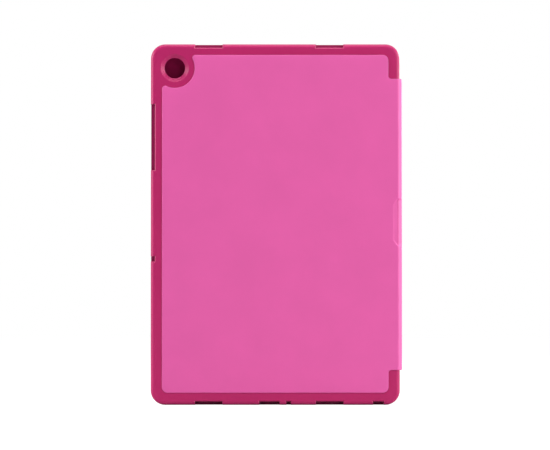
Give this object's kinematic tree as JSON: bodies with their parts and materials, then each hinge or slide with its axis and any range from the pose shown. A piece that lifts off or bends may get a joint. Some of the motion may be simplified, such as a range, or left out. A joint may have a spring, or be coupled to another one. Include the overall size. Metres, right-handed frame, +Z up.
{
  "type": "tablet case",
  "caption": "Slim folding tablet case: moulded tray with camera opening, edge cut-outs and stylus channel, leather back and spine, and a three-panel folding cover.",
  "frame": {"origin": "centre of the bottom of the closed case, where it stands on its short bottom edge", "axes": "+Z up along the long side, -Y out of the leather back, +Y out of the front cover, +X towards the spine"},
  "size_m": [0.1824, 0.0132, 0.262],
  "materials": {
    "tray_plastic": "semi-gloss moulded thermoplastic, dark magenta",
    "leather_skin": "smooth fine-grained imitation leather, pink",
    "stiffener_board": "grey stiffener board",
    "microfibre_lining": "soft microfibre, dark pink",
    "adhesive_film": "clear adhesive film",
    "magnet": "nickel-plated magnet",
    "steel": "thin spring-steel strip"
  },
  "bodies": {
    "tray": {"tray_shell": "tray_plastic", "back_skin": "leather_skin", "back_adhesive": "adhesive_film", "rear_crease_web": "leather_skin"},
    "spine": {"spine_skin": "leather_skin", "spine_board": "stiffener_board", "spine_lining": "microfibre_lining", "front_crease_web": "leather_skin"},
    "cover_inner": {"cover_inner_skin": "leather_skin", "cover_inner_board": "stiffener_board", "cover_inner_lining": "microfibre_lining", "stand_steel_strip": "steel", "fold_1_web": "leather_skin"},
    "cover_middle": {"cover_middle_skin": "leather_skin", "cover_middle_board": "stiffener_board", "cover_middle_lining": "microfibre_lining", "fold_2_web": "leather_skin"},
    "cover_outer": {"cover_outer_skin": "leather_skin", "cover_outer_board": "stiffener_board", "cover_outer_lining": "microfibre_lining", "closure_magnets": "magnet", "stand_magnets": "magnet", "wake_magnet": "magnet"}
  },
  "joints": [
    {"name": "rear_crease", "type": "hinge", "parent": "tray", "child": "spine", "pos_m": [0.08999, -0.00541, 0.131], "axis": [0, 0, -1], "range_deg": [0, 178], "deforming": ["rear_crease_web"]},
    {"name": "front_crease", "type": "hinge", "parent": "spine", "child": "cover_inner", "pos_m": [0.08988, 0.0053, 0.131], "axis": [0, 0, -1], "range_deg": [0, 120], "deforming": ["front_crease_web"]},
    {"name": "fold_1", "type": "hinge", "parent": "cover_inner", "child": "cover_middle", "pos_m": [0.029, 0.00588, 0.131], "axis": [0, 0, -1], "range_deg": [0, 118], "deforming": ["fold_1_web"]},
    {"name": "fold_2", "type": "hinge", "parent": "cover_middle", "child": "cover_outer", "pos_m": [-0.0317, 0.00588, 0.131], "axis": [0, 0, -1], "range_deg": [0, 118], "deforming": ["fold_2_web"]}
  ],
  "couplings": [
    {"joint": "fold_2", "follows": "fold_1", "ratio": 1}
  ]
}
